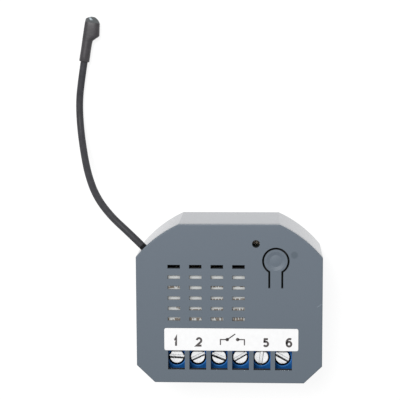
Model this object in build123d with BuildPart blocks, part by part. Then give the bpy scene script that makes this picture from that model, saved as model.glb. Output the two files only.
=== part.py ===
from build123d import *
import math
import os

os.makedirs("parts", exist_ok=True)

# Smart relay module for a round wall box, lying on its back: the back face is z = 0,
# the front face looks up, x runs to the right and y to the top of the front face.

# Housing outline and heights
width = 44.0
height = 38.15
depth = 20.0
box_radius = 28.35
top_flat = 23.65
corner_cut_x = 4.3
corner_cut_y = 4.15
wall = 1.3
floor_thickness = 1.2
cover_thickness = 1.6
fit_gap = 0.1

# Boards
board_thickness = 1.2
board_clearance = 1.0
board_edge_gap = 0.3
ledge_width = 0.9
pin_clearance = 0.1
pin_reach = 0.7
upper_board_thickness = 1.0
upper_board_drop = 4.1

# Terminal row
poles = 6
pitch = 5.08
screw_row_inset = 5.35
block_drop = 3.8
block_back = 4.15

# Levels and places that follow from these sizes
rim_z = depth - cover_thickness
board_bottom = floor_thickness + board_clearance
board_top = board_bottom + board_thickness
pin_bottom = board_bottom - pin_reach
block_top = depth - block_drop
upper_board_top = depth - upper_board_drop
upper_board_bottom = upper_board_top - upper_board_thickness
screw_row_y = -height / 2 + screw_row_inset
pole_xs = [(pole - (poles - 1) / 2) * pitch for pole in range(poles)]
arc_centre_y = height / 2 - math.sqrt(box_radius**2 - (top_flat / 2) ** 2)
flat_turn = math.acos(top_flat / 2 / box_radius)
side_turn = math.acos(width / 2 / box_radius)

# Space behind the terminal blocks: the parts there take shares of its width and height,
# and shares of the room between the boards
space_left = -width / 2 + wall
space_width = width - 2 * wall
space_bottom = screw_row_y + block_back
space_height = height / 2 - wall - space_bottom
board_room = upper_board_bottom - board_top

# Holes through the main board, as (x, y, radius), one for each pin of the parts below
board_pins = []


def spot(x_share, y_share):
    """A place in that space, from its lower left corner."""
    return space_left + x_share * space_width, space_bottom + y_share * space_height


def plan_size(x_share, y_share):
    """A length along x and one along y, as shares of that space."""
    return x_share * space_width, y_share * space_height


def body_outline(inset=0):
    """Front outline, moved inwards by inset: flat top, two arcs that clear a round
    box, straight sides and cut lower corners."""
    side_y = arc_centre_y + box_radius * math.sin(side_turn)
    arc_turn = (side_turn + flat_turn) / 2
    middle_x = box_radius * math.cos(arc_turn)
    middle_y = arc_centre_y + box_radius * math.sin(arc_turn)
    with BuildSketch() as outline:
        with BuildLine():
            Line((-top_flat / 2, height / 2), (top_flat / 2, height / 2))
            ThreePointArc((top_flat / 2, height / 2), (middle_x, middle_y), (width / 2, side_y))
            Polyline(
                (width / 2, side_y),
                (width / 2, -height / 2 + corner_cut_y),
                (width / 2 - corner_cut_x, -height / 2),
                (-width / 2 + corner_cut_x, -height / 2),
                (-width / 2, -height / 2 + corner_cut_y),
                (-width / 2, side_y),
            )
            ThreePointArc((-width / 2, side_y), (-middle_x, middle_y), (-top_flat / 2, height / 2))
        make_face()
        if inset:
            offset(amount=-inset, kind=Kind.INTERSECTION)
    return outline.sketch


def save(builder, name):
    """Label a finished piece and write it to its own file."""
    builder.part.label = name
    export_step(builder.part, f"parts/{name}.step")


# Antenna wire: it leaves the left arc square to it, runs straight at first, comes down
# to the surface that the module lies on and runs along it to its tip
wire_diameter = 1.75
wire_gap = 0.05
exit_share = 0.2019
wire_radius = wire_diameter / 2
wire_z = rim_z - wire_gap - wire_radius
exit_turn = side_turn + exit_share * (flat_turn - side_turn)
exit_direction = Vector(-math.cos(exit_turn), math.sin(exit_turn), 0)
exit_point = Vector(0, arc_centre_y, wire_z) + exit_direction * box_radius
exit_plane = Plane(origin=exit_point, x_dir=Vector(0, 0, 1).cross(exit_direction), z_dir=exit_direction)

# Terminal clamps: a cage with a wire space between its lower bar and the contact, which
# shuts as the cage rises
cage_floor_gap = 1.2
cage_wall = 0.5
cage_width = 3.6
cage_length = 3.2
cage_headroom = 0.1
thread_pitch = 0.45
head_radius = 1.75
head_height = 1.5
head_drop = 0.4
head_web = 0.6
bar_share = 0.0879
plate_share = 0.1319
travel_share = 0.2308
wire_share = 0.2747
contact_share = 0.0879
head_bottom = block_top - head_drop - head_height
cavity_top = head_bottom - head_web
cage_bottom = board_top + cage_floor_gap
shaft_room = cavity_top - cage_bottom
cage_bar = bar_share * shaft_room
cage_plate = plate_share * shaft_room
cage_travel = travel_share * shaft_room
wire_space = wire_share * shaft_room
contact_thickness = contact_share * shaft_room
cage_height = shaft_room - cage_headroom - cage_travel
wire_entry_z = cage_bottom + cage_bar + wire_space / 2
contact_bottom = cage_bottom + cage_bar + wire_space

# Rear housing: one moulding with the walls, the floor, the ledge under the main board,
# the two pillars under the upper board, the snap windows and the row of wire entries
snap_length = 6.0
snap_height = 1.4
snap_drop = 1.8
snap_y = -3.0
wire_entry_radius = 1.5
pillar_width = 2.2
pillar_reach = 1.6
pillar_spot_shares = (0.5531, 0.5548)
pillar_top_x, pillar_right_y = spot(*pillar_spot_shares)
foot_fillet = 0.4
pillars = [
    (width / 2 - wall - pillar_reach / 2, pillar_right_y, pillar_reach, pillar_width),
    (pillar_top_x, height / 2 - wall - pillar_reach / 2, pillar_width, pillar_reach),
]

with BuildPart() as rear_housing:
    with BuildSketch():
        add(body_outline())
    extrude(amount=rim_z)
    fillet(rear_housing.edges().group_by(Axis.Z)[0], foot_fillet)
    with BuildSketch(Plane.XY.offset(floor_thickness)):
        add(body_outline(wall))
    extrude(amount=rim_z - floor_thickness, mode=Mode.SUBTRACT)
    with BuildSketch(Plane.XY.offset(floor_thickness)):
        add(body_outline(wall))
        add(body_outline(wall + ledge_width), mode=Mode.SUBTRACT)
    extrude(amount=board_clearance)
    with BuildSketch(Plane.XY.offset(floor_thickness)):
        for x, y, size_x, size_y in pillars:
            with Locations((x, y)):
                Rectangle(size_x, size_y)
    extrude(amount=upper_board_bottom - floor_thickness)
    with BuildSketch(Plane.XZ.offset(height / 2)):
        with Locations(*[(x, wire_entry_z) for x in pole_xs]):
            Circle(wire_entry_radius)
    extrude(amount=-wall, mode=Mode.SUBTRACT)
    for side in (-1, 1):
        with Locations((side * (width / 2 - wall / 2), snap_y, rim_z - snap_drop)):
            Box(wall, snap_length, snap_height, mode=Mode.SUBTRACT)
    with BuildSketch(exit_plane):
        Circle(wire_radius + wire_gap)
        with Locations((0, wire_radius)):
            Rectangle(wire_diameter + 2 * wire_gap, wire_diameter)
    extrude(amount=-2 * wall, mode=Mode.SUBTRACT)
save(rear_housing, "rear_housing")

# Relay's place and size on the main board, which the front cover is thinned over
relay_corner_shares = (0.1377, 0.0603)
relay_size_shares = (0.4638, 0.5631)
relay_left, relay_bottom_y = spot(*relay_corner_shares)
relay_length, relay_width = plan_size(*relay_size_shares)
relay_right = relay_left + relay_length
relay_top_y = relay_bottom_y + relay_width
relay_x = relay_left + relay_length / 2
relay_y = relay_bottom_y + relay_width / 2

# Front cover: the plate with its skirt and two snap hooks, stepped in at the seam with
# the housing, thinned from below over the relay, and pierced by the vents, the light
# hole, the six screw windows and the keyhole cut round the program button
skirt_thickness = 1.0
skirt_depth = 1.5
notch_gap = 0.4
pocket_depth = 1.1
pocket_gap = 0.4
edge_fillet = 0.3
seam_width = 0.15
seam_height = 0.2
vent_columns = 4
vent_rows = 6
vent_length = 2.95
vent_height = 0.88
vent_left = -14.5
vent_top_share = 0.6952
vent_label_gap = 1.75
light_radius = 0.92
light_spot_shares = (0.6526, 0.8803)
window_width = 4.0
window_height = 4.66
window_reach = 2.525
window_shift = 0.17
button_spot_shares = (0.7652, 0.7311)
button_reach = 6.49
ring_radius = 3.22
ring_cut = 0.47
stem_width = 2.58
label_width = 31.8
label_height = 5.46
label_x = 0.49
label_thickness = 0.2
label_recess = 0.1
label_corner = 0.5
label_gap = 0.05
window_top = screw_row_y + window_reach
label_y = window_top + label_height / 2
light_x, light_y = spot(*light_spot_shares)
button_x, button_y = spot(*button_spot_shares)
button_root_y = button_y - button_reach
vent_top = space_bottom + vent_top_share * space_height
vent_rise = vent_top - vent_height - (window_top + label_height + vent_label_gap)
vent_row_pitch = vent_rise / (vent_rows - 1)

with BuildPart() as front_cover:
    with BuildSketch(Plane.XY.offset(rim_z)):
        add(body_outline())
    extrude(amount=cover_thickness)
    fillet(front_cover.edges().group_by(Axis.Z)[-1], edge_fillet)
    with BuildSketch(Plane.XY.offset(rim_z)):
        add(body_outline())
        add(body_outline(seam_width), mode=Mode.SUBTRACT)
    extrude(amount=seam_height, mode=Mode.SUBTRACT)
    with BuildSketch(Plane.XY.offset(rim_z)):
        add(body_outline(wall + fit_gap))
        add(body_outline(wall + fit_gap + skirt_thickness), mode=Mode.SUBTRACT)
    extrude(amount=-skirt_depth)
    with BuildSketch(Plane.XY.offset(rim_z)):
        with Locations((relay_x, relay_y)):
            Rectangle(relay_length + 2 * pocket_gap, relay_width + 2 * pocket_gap)
    extrude(amount=pocket_depth, mode=Mode.SUBTRACT)
    for side in (-1, 1):
        with Locations((side * (width / 2 - wall / 2 - fit_gap), snap_y, rim_z - snap_drop)):
            Box(wall, snap_length - 2 * fit_gap, snap_height - 2 * fit_gap)
        with Locations((side * (width / 2 - wall - fit_gap - skirt_thickness / 2), snap_y, rim_z)):
            hook_height = snap_drop + snap_height / 2 - fit_gap
            hook_align = (Align.CENTER, Align.CENTER, Align.MAX)
            Box(skirt_thickness, snap_length - 2 * fit_gap, hook_height, align=hook_align)
    with BuildSketch(exit_plane):
        Rectangle(wire_diameter + 2 * notch_gap, wire_diameter + 2 * wire_gap)
    extrude(amount=-3 * (wall + skirt_thickness), mode=Mode.SUBTRACT)
    with BuildSketch(Plane.XY.offset(depth)):
        vent_x = vent_left + (vent_length + (vent_columns - 1) * pitch) / 2
        vent_y = vent_top - (vent_height + vent_rise) / 2
        with Locations((vent_x, vent_y)):
            with GridLocations(pitch, vent_row_pitch, vent_columns, vent_rows):
                Rectangle(vent_length, vent_height)
        with Locations(*[(x + window_shift, window_top - window_height / 2) for x in pole_xs]):
            Rectangle(window_width, window_height)
        with Locations((light_x, light_y)):
            Circle(light_radius)
        with Locations((button_x, button_y)):
            Circle(ring_radius)
        with Locations((button_x, (button_root_y + button_y) / 2)):
            Rectangle(stem_width + 2 * ring_cut, button_y - button_root_y)
    extrude(amount=-cover_thickness, mode=Mode.SUBTRACT)
    with BuildSketch(Plane.XY.offset(depth)):
        with Locations((label_x, label_y)):
            RectangleRounded(label_width, label_height, label_corner)
    extrude(amount=-label_recess, mode=Mode.SUBTRACT)
save(front_cover, "front_cover")

# Printed label: a white plate glued in its shallow recess above the screw windows
with BuildPart() as terminal_label:
    with BuildSketch(Plane.XY.offset(depth - label_recess)):
        with Locations((label_x, label_y)):
            plate_width = label_width - 2 * label_gap
            plate_height = label_height - 2 * label_gap
            RectangleRounded(plate_width, plate_height, label_corner - label_gap)
    extrude(amount=label_thickness)
save(terminal_label, "terminal_label")

# Program button: a tongue that bends at a thin web at the lower end of its stem, with a
# shallow dish on top, domed in its middle, and a post below that meets the switch plunger
button_thickness = 1.2
button_web = 0.5
web_length = 0.7
dish_radius = 2.25
dish_floor_radius = 1.42
dish_depth = 0.26
dome_rise = 0.12
post_radius = 0.95
post_gap = 0.05
switch_height = 1.6
plunger_stand = 0.7
button_bottom = depth - button_thickness
plunger_top = upper_board_top + switch_height + plunger_stand



def dish_cutter():
    """The dish as a solid: a cone over a floor that rises as a low dome."""
    dome_radius = (dish_floor_radius**2 + dome_rise**2) / (2 * dome_rise)
    with BuildPart() as cutter:
        with Locations((button_x, button_y, depth - dish_depth / 2)):
            Cone(dish_floor_radius, dish_radius, dish_depth)
        with Locations((button_x, button_y, depth - dish_depth + dome_rise - dome_radius)):
            Sphere(dome_radius, mode=Mode.SUBTRACT)
    return cutter.part


with BuildPart() as program_button:
    with BuildSketch(Plane.XY.offset(depth)):
        with Locations((button_x, button_y)):
            Circle(ring_radius - ring_cut)
        with Locations((button_x, (button_root_y + button_y) / 2)):
            Rectangle(stem_width, button_y - button_root_y)
    extrude(amount=-button_thickness)
    with Locations((button_x, button_root_y + web_length / 2, depth - button_web)):
        relief_align = (Align.CENTER, Align.CENTER, Align.MAX)
        Box(stem_width, web_length, button_thickness, align=relief_align, mode=Mode.SUBTRACT)
    add(dish_cutter(), mode=Mode.SUBTRACT)
    with BuildSketch(Plane.XY.offset(button_bottom)):
        with Locations((button_x, button_y)):
            Circle(post_radius)
    extrude(amount=plunger_top + post_gap - button_bottom)
save(program_button, "program_button")

# Push switch under the button: a square body with a bore for its round plunger
switch_shares = (0.1256, 0.1901)
switch_size = min(plan_size(*switch_shares))
plunger_radius = 1.3
plunger_collar = 1.7
plunger_play = 0.05
switch_lid = 0.4
collar_height = 0.4

with BuildPart() as switch_body:
    with Locations((button_x, button_y, upper_board_top)):
        Box(switch_size, switch_size, switch_height, align=(Align.CENTER, Align.CENTER, Align.MIN))
    chamfer(switch_body.edges().filter_by(Axis.Z), switch_lid)
    with BuildSketch(Plane.XY.offset(upper_board_top + switch_height)):
        with Locations((button_x, button_y)):
            Circle(plunger_radius + plunger_play)
    extrude(amount=-switch_lid, mode=Mode.SUBTRACT)
    with BuildSketch(Plane.XY.offset(upper_board_top + switch_height - switch_lid)):
        with Locations((button_x, button_y)):
            Circle(plunger_collar + plunger_play)
    extrude(amount=-2 * switch_lid, mode=Mode.SUBTRACT)
save(switch_body, "switch_body")

with BuildPart() as switch_plunger:
    with BuildSketch(Plane.XY.offset(plunger_top)):
        with Locations((button_x, button_y)):
            Circle(plunger_radius)
    extrude(amount=-plunger_stand - switch_lid)
    with BuildSketch(Plane.XY.offset(upper_board_top + switch_height - switch_lid)):
        with Locations((button_x, button_y)):
            Circle(plunger_collar)
    extrude(amount=-collar_height)
save(switch_plunger, "switch_plunger")

# Terminal blocks: three mouldings of two poles, each pole with a shaft for the cage, a
# bore for the screw head, a wire funnel and a slot for the contact's tail
block_poles = 2
block_front = 3.65
block_gap = 0.06
block_chamfer = 0.5
cavity_play = 0.15
cavity_back = 3.05
head_play = 0.2
rim_chamfer = 0.3
shank_radius = 1.25
shank_play = 0.08
funnel_radius = 1.3
leg_width = 1.0
leg_thickness = 0.8
leg_offset = 2.0
contact_width = 2.4
leg_y = screw_row_y + leg_offset + leg_thickness / 2
leg_hole_radius = math.hypot(leg_width, leg_thickness) / 2 + pin_clearance
board_pins += [(x, leg_y, leg_hole_radius) for x in pole_xs]

for block in range(poles // block_poles):
    block_xs = pole_xs[block * block_poles : (block + 1) * block_poles]
    block_x = sum(block_xs) / block_poles
    block_width = block_poles * pitch - block_gap
    block_y = screw_row_y + (block_back - block_front) / 2
    with BuildPart() as terminal_block:
        with Locations((block_x, block_y, board_top)):
            block_align = (Align.CENTER, Align.CENTER, Align.MIN)
            Box(block_width, block_front + block_back, block_top - board_top, align=block_align)
        top_edges = terminal_block.edges().group_by(Axis.Z)[-1].filter_by(Axis.X)
        chamfer(top_edges.sort_by(Axis.Y)[0], block_chamfer)
        cavity_bottom = cage_bottom - cavity_play
        cavity_front = cage_length / 2 + cavity_play
        with BuildSketch(Plane.XY.offset(cavity_bottom)):
            for x in block_xs:
                with Locations((x, screw_row_y + (cavity_back - cavity_front) / 2)):
                    Rectangle(cage_width + 2 * cavity_play, cavity_back + cavity_front)
        extrude(amount=cavity_top - cavity_bottom, mode=Mode.SUBTRACT)
        with BuildSketch(Plane.XY.offset(block_top)):
            for x in block_xs:
                with Locations((x, screw_row_y)):
                    Circle(head_radius + head_play)
        extrude(amount=-head_drop - head_height, mode=Mode.SUBTRACT)
        with Locations(*[(x, screw_row_y, block_top - rim_chamfer / 2) for x in block_xs]):
            bore_radius = head_radius + head_play
            Cone(bore_radius, bore_radius + rim_chamfer, rim_chamfer, mode=Mode.SUBTRACT)
        with BuildSketch(Plane.XY.offset(block_top)):
            for x in block_xs:
                with Locations((x, screw_row_y)):
                    Circle(shank_radius + shank_play)
        extrude(amount=cavity_top - block_top, mode=Mode.SUBTRACT)
        with BuildSketch(Plane.XZ.offset(-screw_row_y + block_front)):
            for x in block_xs:
                with Locations((x, wire_entry_z)):
                    Circle(funnel_radius)
        extrude(amount=-block_front, mode=Mode.SUBTRACT)
        with BuildSketch(Plane.XY.offset(board_top)):
            for x in block_xs:
                with Locations((x, leg_y)):
                    Rectangle(leg_width + 2 * pin_clearance, leg_thickness + 2 * pin_clearance)
        extrude(amount=cavity_bottom - board_top, mode=Mode.SUBTRACT)
    save(terminal_block, f"terminal_block_{block + 1}")

# Terminal screws: slotted cheese heads that turn on the block's web, with a plain shank
# whose thread carries the cage; each slot rests at its own angle
slot_width = 0.7
slot_depth = 0.7
head_chamfer = 0.15
tip_gap = 0.05
slot_angles = [-3, 25, -21, 31, 82, -29]
head_top = head_bottom + head_height
tip_z = contact_bottom + contact_thickness + tip_gap

for pole, x in enumerate(pole_xs):
    with BuildPart() as terminal_screw:
        with BuildSketch(Plane.XY.offset(head_bottom)):
            with Locations((x, screw_row_y)):
                Circle(head_radius)
        extrude(amount=head_height)
        chamfer(terminal_screw.edges().group_by(Axis.Z)[-1], head_chamfer)
        with BuildSketch(Plane.XY.offset(head_top)):
            with Locations(Location((x, screw_row_y), slot_angles[pole])):
                Rectangle(2 * head_radius, slot_width)
        extrude(amount=-slot_depth, mode=Mode.SUBTRACT)
        with BuildSketch(Plane.XY.offset(head_bottom)):
            with Locations((x, screw_row_y)):
                Circle(shank_radius)
        extrude(amount=tip_z - head_bottom)
    save(terminal_screw, f"terminal_screw_{pole + 1}")

# Clamp cages: square frames open at front and back, threaded on the screws; they rise
# and press the wire against the contact's underside
for pole, x in enumerate(pole_xs):
    with BuildPart() as terminal_clamp:
        with Locations((x, screw_row_y, cage_bottom)):
            Box(cage_width, cage_length, cage_height, align=(Align.CENTER, Align.CENTER, Align.MIN))
        with Locations((x, screw_row_y, cage_bottom + cage_bar)):
            opening_align = (Align.CENTER, Align.CENTER, Align.MIN)
            opening_height = cage_height - cage_bar - cage_plate
            opening_width = cage_width - 2 * cage_wall
            Box(opening_width, cage_length, opening_height, align=opening_align, mode=Mode.SUBTRACT)
        with BuildSketch(Plane.XY.offset(cage_bottom + cage_height)):
            with Locations((x, screw_row_y)):
                Circle(shank_radius + wire_gap)
        extrude(amount=-cage_plate, mode=Mode.SUBTRACT)
    save(terminal_clamp, f"terminal_clamp_{pole + 1}")
print("screw turns over the clamp's travel", round(cage_travel / thread_pitch, 3))

# Terminal contacts: a plate through each cage, bent down into the main board
contact_reach = 1.5

for pole, x in enumerate(pole_xs):
    with BuildPart() as terminal_contact:
        plate_back = leg_offset + leg_thickness
        with Locations((x, screw_row_y + (plate_back - contact_reach) / 2, contact_bottom)):
            plate_align = (Align.CENTER, Align.CENTER, Align.MIN)
            Box(contact_width, plate_back + contact_reach, contact_thickness, align=plate_align)
        with Locations((x, leg_y, pin_bottom)):
            Box(leg_width, leg_thickness, contact_bottom - pin_bottom, align=plate_align)
    save(terminal_contact, f"terminal_contact_{pole + 1}")

# Relay: a closed case over a base, with a coil on an upright bobbin, a core, an angle
# yoke, an armature hinged on the yoke's top edge and a switching contact
relay_top_gap = 0.15
relay_wall = 0.6
relay_base_height = 1.6
case_lift = 0.3
case_fillet = 0.35
yoke_thickness = 1.2
yoke_width_share = 0.5195
yoke_gap = 0.3
flange_shares = (0.25, 0.3117)
flange_thickness = 0.8
barrel_share = 0.5417
core_share = 0.375
coil_share = 0.9375
pole_share = 0.625
coil_gap = 0.05
pole_height = 0.8
armature_gap = 0.45
armature_thickness = 1.0
armature_headroom = 1.2
blade_thickness = 0.25
blade_width = 4.0
contact_offset_share = 0.375
contact_radius = 1.0
contact_height = 0.6
contact_gap = 0.55
post_width = 2.4
post_thickness = 0.8
tail_width = 0.8
yoke_width = yoke_width_share * relay_width
flange_radius = min(flange_shares[0] * relay_length, flange_shares[1] * relay_width)
barrel_radius = barrel_share * flange_radius
core_radius = core_share * flange_radius
coil_radius = coil_share * flange_radius
pole_radius = pole_share * flange_radius
contact_offset = contact_offset_share * relay_length
relay_top = rim_z + pocket_depth - relay_top_gap
base_top = board_top + relay_base_height
armature_top = relay_top - relay_wall - armature_headroom
armature_bottom = armature_top - armature_thickness
pole_top = armature_bottom - armature_gap
pole_bottom = pole_top - pole_height
yoke_outer_x = relay_left + relay_wall + yoke_gap
yoke_inner_x = yoke_outer_x + yoke_thickness
coil_x = yoke_inner_x + yoke_gap + flange_radius
contact_x = coil_x + contact_offset
bobbin_bottom = base_top + yoke_thickness
coil_pin_inset = 1.3
coil_pin_radius = 0.35
coil_pin_x = coil_x + flange_radius + coil_pin_inset
coil_pin_reach = relay_width / 2 - relay_wall - coil_pin_inset
coil_pins = [(coil_pin_x, relay_y + side * coil_pin_reach) for side in (-1, 1)]
tail_hole_radius = math.hypot(tail_width, post_thickness) / 2 + pin_clearance
yoke_tail_x = yoke_outer_x + yoke_thickness / 2
board_pins += [(x, y, coil_pin_radius + pin_clearance) for x, y in coil_pins]
board_pins += [(yoke_tail_x, relay_y, tail_hole_radius), (contact_x, relay_y, tail_hole_radius)]

with BuildPart() as relay_base:
    with Locations((relay_x, relay_y, board_top)):
        base_gap = 2 * (relay_wall + fit_gap)
        base_align = (Align.CENTER, Align.CENTER, Align.MIN)
        Box(relay_length - base_gap, relay_width - base_gap, relay_base_height, align=base_align)
    with BuildSketch(Plane.XY.offset(board_top)):
        with Locations(*coil_pins):
            Circle(coil_pin_radius + pin_clearance)
        with Locations((yoke_tail_x, relay_y), (contact_x, relay_y)):
            Rectangle(post_thickness + 2 * pin_clearance, tail_width + 2 * pin_clearance)
    extrude(amount=relay_base_height, mode=Mode.SUBTRACT)
save(relay_base, "relay_base")

with BuildPart() as relay_case:
    with BuildSketch(Plane.XY.offset(board_top + case_lift)):
        with Locations((relay_x, relay_y)):
            Rectangle(relay_length, relay_width)
    extrude(amount=relay_top - board_top - case_lift)
    fillet(relay_case.edges().group_by(Axis.Z)[1:], case_fillet)
    with BuildSketch(Plane.XY.offset(board_top + case_lift)):
        with Locations((relay_x, relay_y)):
            Rectangle(relay_length - 2 * relay_wall, relay_width - 2 * relay_wall)
    extrude(amount=relay_top - relay_wall - board_top - case_lift, mode=Mode.SUBTRACT)
save(relay_case, "relay_case")

with BuildPart() as relay_yoke:
    yoke_reach = coil_x + core_radius + yoke_thickness - yoke_outer_x
    yoke_align = (Align.MIN, Align.CENTER, Align.MIN)
    with Locations((yoke_outer_x, relay_y, base_top)):
        Box(yoke_reach, yoke_width, yoke_thickness, align=yoke_align)
        Box(yoke_thickness, yoke_width, armature_bottom - base_top, align=yoke_align)
    with Locations((yoke_tail_x, relay_y, pin_bottom)):
        tail_align = (Align.CENTER, Align.CENTER, Align.MIN)
        Box(post_thickness, tail_width, base_top - pin_bottom, align=tail_align)
    with BuildSketch(Plane.XY.offset(base_top)):
        with Locations((coil_x, relay_y)):
            Circle(core_radius)
    extrude(amount=yoke_thickness, mode=Mode.SUBTRACT)
save(relay_yoke, "relay_yoke")

with BuildPart() as relay_core:
    with BuildSketch(Plane.XY.offset(base_top)):
        with Locations((coil_x, relay_y)):
            Circle(core_radius)
    extrude(amount=pole_bottom - base_top)
    with BuildSketch(Plane.XY.offset(pole_bottom)):
        with Locations((coil_x, relay_y)):
            Circle(pole_radius)
    extrude(amount=pole_height)
save(relay_core, "relay_core")

with BuildPart() as relay_bobbin:
    with BuildSketch(Plane.XY.offset(bobbin_bottom)):
        with Locations((coil_x, relay_y)):
            Circle(flange_radius)
    extrude(amount=flange_thickness)
    with BuildSketch(Plane.XY.offset(pole_bottom - flange_thickness)):
        with Locations((coil_x, relay_y)):
            Circle(flange_radius)
    extrude(amount=flange_thickness)
    with BuildSketch(Plane.XY.offset(bobbin_bottom)):
        with Locations((coil_x, relay_y)):
            Circle(barrel_radius)
    extrude(amount=pole_bottom - bobbin_bottom)
    with BuildSketch(Plane.XY.offset(bobbin_bottom)):
        with Locations((coil_x, relay_y)):
            Circle(core_radius + coil_gap)
    extrude(amount=pole_bottom - bobbin_bottom, mode=Mode.SUBTRACT)
save(relay_bobbin, "relay_bobbin")

with BuildPart() as relay_coil:
    coil_bottom = bobbin_bottom + flange_thickness
    with BuildSketch(Plane.XY.offset(coil_bottom)):
        with Locations((coil_x, relay_y)):
            Circle(coil_radius)
            Circle(barrel_radius + coil_gap, mode=Mode.SUBTRACT)
    extrude(amount=pole_bottom - flange_thickness - coil_bottom)
save(relay_coil, "relay_coil")

with BuildPart() as relay_coil_pins:
    with BuildSketch(Plane.XY.offset(pin_bottom)):
        with Locations(*coil_pins):
            Circle(coil_pin_radius)
    extrude(amount=bobbin_bottom - pin_bottom)
save(relay_coil_pins, "relay_coil_pins")

with BuildPart() as relay_armature:
    with Locations((yoke_outer_x, relay_y, armature_bottom)):
        armature_length = coil_x + pole_radius - yoke_outer_x
        Box(armature_length, yoke_width, armature_thickness, align=(Align.MIN, Align.CENTER, Align.MIN))
save(relay_armature, "relay_armature")

with BuildPart() as relay_contact_blade:
    blade_end = contact_x + contact_radius
    with Locations((coil_x, relay_y, armature_top)):
        Box(blade_end - coil_x, blade_width, blade_thickness, align=(Align.MIN, Align.CENTER, Align.MIN))
    with BuildSketch(Plane.XY.offset(armature_top)):
        with Locations((contact_x, relay_y)):
            Circle(contact_radius)
    extrude(amount=-contact_height)
save(relay_contact_blade, "relay_contact_blade")

with BuildPart() as relay_fixed_contact:
    post_top = armature_top - 2 * contact_height - contact_gap
    post_align = (Align.CENTER, Align.CENTER, Align.MIN)
    with Locations((contact_x, relay_y, base_top)):
        Box(post_thickness, post_width, post_top - base_top, align=post_align)
    with Locations((contact_x, relay_y, pin_bottom)):
        Box(post_thickness, tail_width, base_top - pin_bottom, align=post_align)
    with BuildSketch(Plane.XY.offset(post_top)):
        with Locations((contact_x, relay_y)):
            Circle(contact_radius)
    extrude(amount=contact_height)
save(relay_fixed_contact, "relay_fixed_contact")

# Supply parts on the main board: each stands on the board with its leads through it
lead_radius = 0.3


def lead_places(x, y, spacing_x, spacing_y=0):
    """The two lead places of a part centred on (x, y)."""
    return [(x + side * spacing_x / 2, y + side * spacing_y / 2) for side in (-1, 1)]


def leads(places, top=board_top):
    """Round leads from the given height down through the main board."""
    with BuildPart() as pair:
        with BuildSketch(Plane.XY.offset(top)):
            with Locations(*places):
                Circle(lead_radius)
        extrude(amount=pin_bottom - top)
    return pair.part


def lead_holes(places):
    """The holes that the leads need in the main board."""
    return [(x, y, lead_radius + pin_clearance) for x, y in places]


film_spot_shares = (0.3261, 0.8035)
film_size_shares = (0.314, 0.1828)
film_height_share = 0.913
film_lead_share = 0.7692
film_fillet = 0.5
film_x, film_y = spot(*film_spot_shares)
film_length, film_width = plan_size(*film_size_shares)
film_height = film_height_share * board_room
film_spacing = film_lead_share * film_length

with BuildPart() as supply_capacitor:
    with Locations((film_x, film_y, board_top)):
        Box(film_length, film_width, film_height, align=(Align.CENTER, Align.CENTER, Align.MIN))
    fillet(supply_capacitor.edges().group_by(Axis.Z)[1:], film_fillet)
    film_leads = lead_places(film_x, film_y, film_spacing)
    add(leads(film_leads))
board_pins += lead_holes(film_leads)
save(supply_capacitor, "supply_capacitor")


can_groove_share = 0.125


def can_capacitor(x, y, radius, can_height, spacing):
    """Upright aluminium can with the rolled groove near its foot."""
    groove_z = board_top + radius / 2
    groove_radius = radius * can_groove_share
    with BuildPart() as can:
        with BuildSketch(Plane.XY.offset(board_top)):
            with Locations((x, y)):
                Circle(radius)
        extrude(amount=can_height)
        fillet(can.edges().group_by(Axis.Z)[-1], groove_radius)
        with Locations((x, y, groove_z)):
            Torus(radius, groove_radius, mode=Mode.SUBTRACT)
        add(leads(lead_places(x, y, 0, spacing)))
    return can


filter_spot_shares = (0.8744, 0.255)
filter_shares = (0.0966, 0.1463)
filter_height_share = 0.913
output_spot_shares = (0.7246, 0.7377)
output_shares = (0.0604, 0.0914)
output_height_share = 0.7826
can_lead_share = 0.8
filter_x, filter_y = spot(*filter_spot_shares)
filter_radius = min(plan_size(*filter_shares))
filter_height = filter_height_share * board_room
filter_spacing = can_lead_share * filter_radius
output_x, output_y = spot(*output_spot_shares)
output_radius = min(plan_size(*output_shares))
output_height = output_height_share * board_room
output_spacing = can_lead_share * output_radius

filter_capacitor = can_capacitor(filter_x, filter_y, filter_radius, filter_height, filter_spacing)
output_capacitor = can_capacitor(output_x, output_y, output_radius, output_height, output_spacing)
board_pins += lead_holes(lead_places(filter_x, filter_y, 0, filter_spacing))
board_pins += lead_holes(lead_places(output_x, output_y, 0, output_spacing))
save(filter_capacitor, "filter_capacitor")
save(output_capacitor, "output_capacitor")

varistor_spot_shares = (0.8237, 0.5183)
varistor_shares = (0.0821, 0.117, 0.2957)
varistor_stand = 0.8
varistor_lead_share = 1.4706
varistor_round_share = 0.25
varistor_x, varistor_y = spot(*varistor_spot_shares)
varistor_thickness = varistor_shares[1] * space_height
varistor_radius = min(varistor_shares[0] * space_width, varistor_shares[2] * board_room)
varistor_spacing = varistor_lead_share * varistor_radius

with BuildPart() as varistor:
    with BuildSketch(Plane.XZ.offset(-varistor_y)):
        with Locations((varistor_x, board_top + varistor_stand + varistor_radius)):
            Circle(varistor_radius)
    extrude(amount=varistor_thickness / 2, both=True)
    fillet(varistor.edges(), varistor_thickness * varistor_round_share)
    varistor_leads = lead_places(varistor_x, varistor_y, varistor_spacing)
    add(leads(varistor_leads, board_top + varistor_stand + varistor_radius))
board_pins += lead_holes(varistor_leads)
save(varistor, "varistor")

resistor_spot_shares = (0.7319, 0.1527)
resistor_shares = (0.0386, 0.0585)
resistor_height_share = 0.6957
resistor_lead_share = 1.625
resistor_x, resistor_y = spot(*resistor_spot_shares)
resistor_radius = min(plan_size(*resistor_shares))
resistor_height = resistor_height_share * board_room
resistor_spacing = resistor_lead_share * resistor_radius
resistor_bend = 0.6
resistor_fillet = 0.4

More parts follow.
